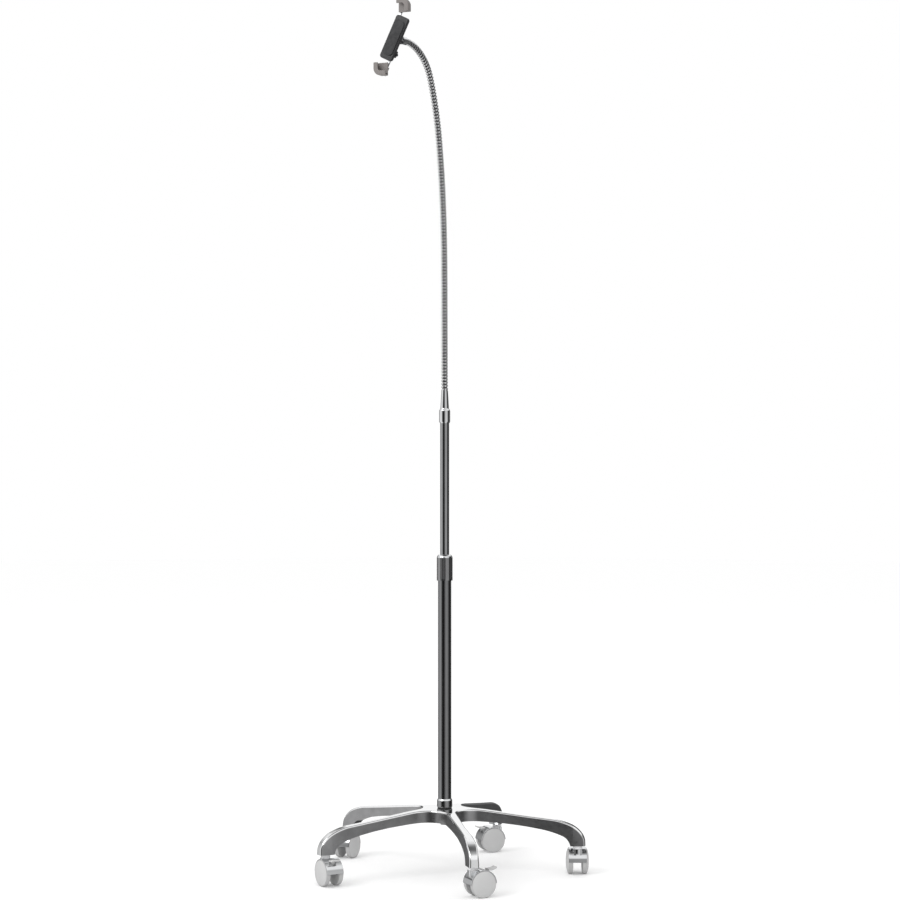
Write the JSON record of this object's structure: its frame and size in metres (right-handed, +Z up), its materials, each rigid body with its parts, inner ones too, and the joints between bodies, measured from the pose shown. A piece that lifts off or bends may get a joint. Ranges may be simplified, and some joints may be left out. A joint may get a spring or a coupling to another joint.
{
  "type": "adjustable tablet floor stand",
  "caption": "Rolling floor stand: star base on hooded twin-wheel casters, telescopic pole, flexible neck and a corner-grip holder for a tablet or phone.",
  "frame": {"origin": "on the floor under the pole's axis", "axes": "+Z up along the pole, -Y the way the holder faces, +X to the right of someone who faces the holder"},
  "size_m": [0.5872, 0.5793, 1.8154],
  "materials": {
    "cast_aluminium": "polished top faces, darker sides",
    "chrome": "bright plated",
    "zinc_steel": "satin",
    "dark_pole": "dark glossy grey",
    "steel_sleeve": "satin with a bright rim",
    "grey_pole": "satin grey",
    "neck_steel": "satin, ribbed",
    "black_plastic": "fine grain",
    "grey_plastic": "warm mid grey",
    "rubber_pad": "matt",
    "grey_wheel": "pale grey",
    "pedal_plastic": "light grey"
  },
  "bodies": {
    "base": {"base_casting": "cast_aluminium", "caster_stems": "chrome", "pole_bolt": "zinc_steel", "lower_pole": "dark_pole"},
    "sleeve": {"lock_sleeve": "steel_sleeve"},
    "slider": {"slide_bush": "black_plastic"},
    "upper_pole": {"upper_pole": "grey_pole"},
    "neck_1": {"neck_piece_1": "neck_steel"},
    "neck_2": {"neck_piece_2": "neck_steel"},
    "neck_3": {"neck_piece_3": "neck_steel"},
    "neck_4": {"neck_piece_4": "neck_steel"},
    "neck_5": {"neck_piece_5": "neck_steel"},
    "neck_6": {"neck_piece_6": "neck_steel", "neck_tip": "zinc_steel"},
    "stud": {"swivel_stud": "zinc_steel"},
    "fork": {"tilt_fork": "black_plastic", "tilt_pin": "zinc_steel"},
    "holder": {"holder_back": "black_plastic", "holder_cover": "black_plastic", "front_pad": "rubber_pad"},
    "pinion": {"pinion": "black_plastic"},
    "upper_grip": {"arm_upper": "zinc_steel", "grip_upper": "grey_plastic", "liner_upper": "rubber_pad"},
    "lower_grip": {"arm_lower": "zinc_steel", "grip_lower": "grey_plastic", "liner_lower": "rubber_pad"},
    "knob": {"lock_knob": "black_plastic"},
    "caster_1": {"caster_hood_1": "chrome"},
    "left_wheel_1": {"wheel_left_1": "grey_wheel"},
    "right_wheel_1": {"wheel_right_1": "grey_wheel"},
    "pedal_1": {"brake_pedal_1": "pedal_plastic"},
    "caster_2": {"caster_hood_2": "chrome"},
    "left_wheel_2": {"wheel_left_2": "grey_wheel"},
    "right_wheel_2": {"wheel_right_2": "grey_wheel"},
    "pedal_2": {"brake_pedal_2": "pedal_plastic"},
    "caster_3": {"caster_hood_3": "chrome"},
    "left_wheel_3": {"wheel_left_3": "grey_wheel"},
    "right_wheel_3": {"wheel_right_3": "grey_wheel"},
    "pedal_3": {"brake_pedal_3": "pedal_plastic"},
    "caster_4": {"caster_hood_4": "chrome"},
    "left_wheel_4": {"wheel_left_4": "grey_wheel"},
    "right_wheel_4": {"wheel_right_4": "grey_wheel"},
    "pedal_4": {"brake_pedal_4": "pedal_plastic"},
    "caster_5": {"caster_hood_5": "chrome"},
    "left_wheel_5": {"wheel_left_5": "grey_wheel"},
    "right_wheel_5": {"wheel_right_5": "grey_wheel"},
    "pedal_5": {"brake_pedal_5": "pedal_plastic"}
  },
  "joints": [
    {"name": "swivel_1", "type": "hinge", "parent": "base", "child": "caster_1", "pos_m": [0.2682, 0.08714, 0.0549], "axis": [0, 0, 1], "continuous": true},
    {"name": "left_roll_1", "type": "hinge", "parent": "caster_1", "child": "left_wheel_1", "pos_m": [0.26156, 0.1017, 0.027], "axis": [-0.91, -0.4147, 0], "continuous": true},
    {"name": "right_roll_1", "type": "hinge", "parent": "caster_1", "child": "right_wheel_1", "pos_m": [0.26156, 0.1017, 0.027], "axis": [-0.91, -0.4147, 0], "continuous": true},
    {"name": "brake_1", "type": "hinge", "parent": "caster_1", "child": "pedal_1", "pos_m": [0.25659, 0.11262, 0.042], "axis": [-0.91, -0.4147, 0], "range_deg": [0, 14]},
    {"name": "swivel_2", "type": "hinge", "parent": "base", "child": "caster_2", "pos_m": [0, 0.282, 0.0549], "axis": [0, 0, 1], "continuous": true},
    {"name": "left_roll_2", "type": "hinge", "parent": "caster_2", "child": "left_wheel_2", "pos_m": [-0.01111, 0.27049, 0.027], "axis": [0.7193, -0.6947, 0], "continuous": true},
    {"name": "right_roll_2", "type": "hinge", "parent": "caster_2", "child": "right_wheel_2", "pos_m": [-0.01111, 0.27049, 0.027], "axis": [0.7193, -0.6947, 0], "continuous": true},
    {"name": "brake_2", "type": "hinge", "parent": "caster_2", "child": "pedal_2", "pos_m": [-0.01945, 0.26186, 0.042], "axis": [0.7193, -0.6947, 0], "range_deg": [0, 14]},
    {"name": "swivel_3", "type": "hinge", "parent": "base", "child": "caster_3", "pos_m": [-0.2682, 0.08714, 0.0549], "axis": [0, 0, 1], "continuous": true},
    {"name": "left_roll_3", "type": "hinge", "parent": "caster_3", "child": "left_wheel_3", "pos_m": [-0.26834, 0.07114, 0.027], "axis": [1, -0.0087, 0], "continuous": true},
    {"name": "right_roll_3", "type": "hinge", "parent": "caster_3", "child": "right_wheel_3", "pos_m": [-0.26834, 0.07114, 0.027], "axis": [1, -0.0087, 0], "continuous": true},
    {"name": "brake_3", "type": "hinge", "parent": "caster_3", "child": "pedal_3", "pos_m": [-0.26844, 0.05914, 0.042], "axis": [1, -0.0087, 0], "range_deg": [0, 14]},
    {"name": "swivel_4", "type": "hinge", "parent": "base", "child": "caster_4", "pos_m": [-0.16576, -0.22814, 0.0549], "axis": [0, 0, 1], "continuous": true},
    {"name": "left_roll_4", "type": "hinge", "parent": "caster_4", "child": "left_wheel_4", "pos_m": [-0.15273, -0.23743, 0.027], "axis": [0.5807, 0.8141, 0], "continuous": true},
    {"name": "right_roll_4", "type": "hinge", "parent": "caster_4", "child": "right_wheel_4", "pos_m": [-0.15273, -0.23743, 0.027], "axis": [0.5807, 0.8141, 0], "continuous": true},
    {"name": "brake_4", "type": "hinge", "parent": "caster_4", "child": "pedal_4", "pos_m": [-0.14296, -0.2444, 0.042], "axis": [0.5807, 0.8141, 0], "range_deg": [0, 14]},
    {"name": "swivel_5", "type": "hinge", "parent": "base", "child": "caster_5", "pos_m": [0.16576, -0.22814, 0.0549], "axis": [0, 0, 1], "continuous": true},
    {"name": "left_roll_5", "type": "hinge", "parent": "caster_5", "child": "left_wheel_5", "pos_m": [0.17593, -0.2158, 0.027], "axis": [-0.7716, 0.6361, 0], "continuous": true},
    {"name": "right_roll_5", "type": "hinge", "parent": "caster_5", "child": "right_wheel_5", "pos_m": [0.17593, -0.2158, 0.027], "axis": [-0.7716, 0.6361, 0], "continuous": true},
    {"name": "brake_5", "type": "hinge", "parent": "caster_5", "child": "pedal_5", "pos_m": [0.18357, -0.20654, 0.042], "axis": [-0.7716, 0.6361, 0], "range_deg": [0, 14]},
    {"name": "lock_turn", "type": "hinge", "parent": "base", "child": "sleeve", "pos_m": [0, 0, 0.618], "axis": [0, 0, 1], "range_deg": [0, 120]},
    {"name": "pole_slide", "type": "slide", "parent": "base", "child": "slider", "axis": [0, 0, 1], "range_m": [-0.275, 0.12]},
    {"name": "pole_turn", "type": "hinge", "parent": "slider", "child": "upper_pole", "pos_m": [0, 0, 0.44], "axis": [0, 0, 1], "continuous": true},
    {"name": "neck_nod_1", "type": "hinge", "parent": "upper_pole", "child": "neck_1", "pos_m": [0, 0, 1.02211], "axis": [0.9898, -0.1426, 0], "range_deg": [-15, 15]},
    {"name": "neck_sway_2", "type": "hinge", "parent": "neck_1", "child": "neck_2", "pos_m": [-0.00006, -0.0004, 1.15244], "axis": [0.1426, 0.9898, 0.0063], "range_deg": [-15, 15]},
    {"name": "neck_nod_3", "type": "hinge", "parent": "neck_2", "child": "neck_3", "pos_m": [-0.0002, -0.00141, 1.28277], "axis": [0.9898, -0.1426, 0], "range_deg": [-15, 15]},
    {"name": "neck_sway_4", "type": "hinge", "parent": "neck_3", "child": "neck_4", "pos_m": [-0.00097, -0.00674, 1.41297], "axis": [0.1422, 0.9871, 0.0738], "range_deg": [-15, 15]},
    {"name": "neck_nod_5", "type": "hinge", "parent": "neck_4", "child": "neck_5", "pos_m": [-0.00302, -0.02094, 1.54248], "axis": [0.9898, -0.1426, 0], "range_deg": [-15, 15]},
    {"name": "neck_sway_6", "type": "hinge", "parent": "neck_5", "child": "neck_6", "pos_m": [-0.00764, -0.05303, 1.66845], "axis": [0.1336, 0.927, 0.3505], "range_deg": [-15, 15]},
    {"name": "stud_turn", "type": "hinge", "parent": "neck_6", "child": "stud", "pos_m": [-0.02186, -0.15171, 1.73848], "axis": [-0.1426, -0.9898, 0], "continuous": true},
    {"name": "tilt", "type": "hinge", "parent": "stud", "child": "fork", "pos_m": [-0.02493, -0.17299, 1.73848], "axis": [0, 0, 1], "range_deg": [-38.2, 21.8]},
    {"name": "roll", "type": "hinge", "parent": "fork", "child": "holder", "pos_m": [-0.02493, -0.19979, 1.73848], "axis": [0, 1, 0], "continuous": true},
    {"name": "pinion_spin", "type": "hinge", "parent": "holder", "child": "pinion", "pos_m": [-0.02493, -0.19979, 1.73848], "axis": [0, 1, 0], "range_deg": [-28.7, 315.2]},
    {"name": "upper_reach", "type": "slide", "parent": "holder", "child": "upper_grip", "axis": [0.4381, 0, 0.8989], "range_m": [-0.003, 0.033]},
    {"name": "lower_reach", "type": "slide", "parent": "holder", "child": "lower_grip", "axis": [-0.4381, 0, -0.8989], "range_m": [-0.003, 0.033]},
    {"name": "knob_turn", "type": "hinge", "parent": "holder", "child": "knob", "pos_m": [-0.03025, -0.19979, 1.70771], "axis": [0, 1, 0], "range_deg": [0, 180]}
  ],
  "couplings": [
    {"joint": "pinion_spin", "follows": "upper_reach", "rad_per_m": 166.67},
    {"joint": "lower_reach", "follows": "upper_reach", "ratio": 1}
  ]
}
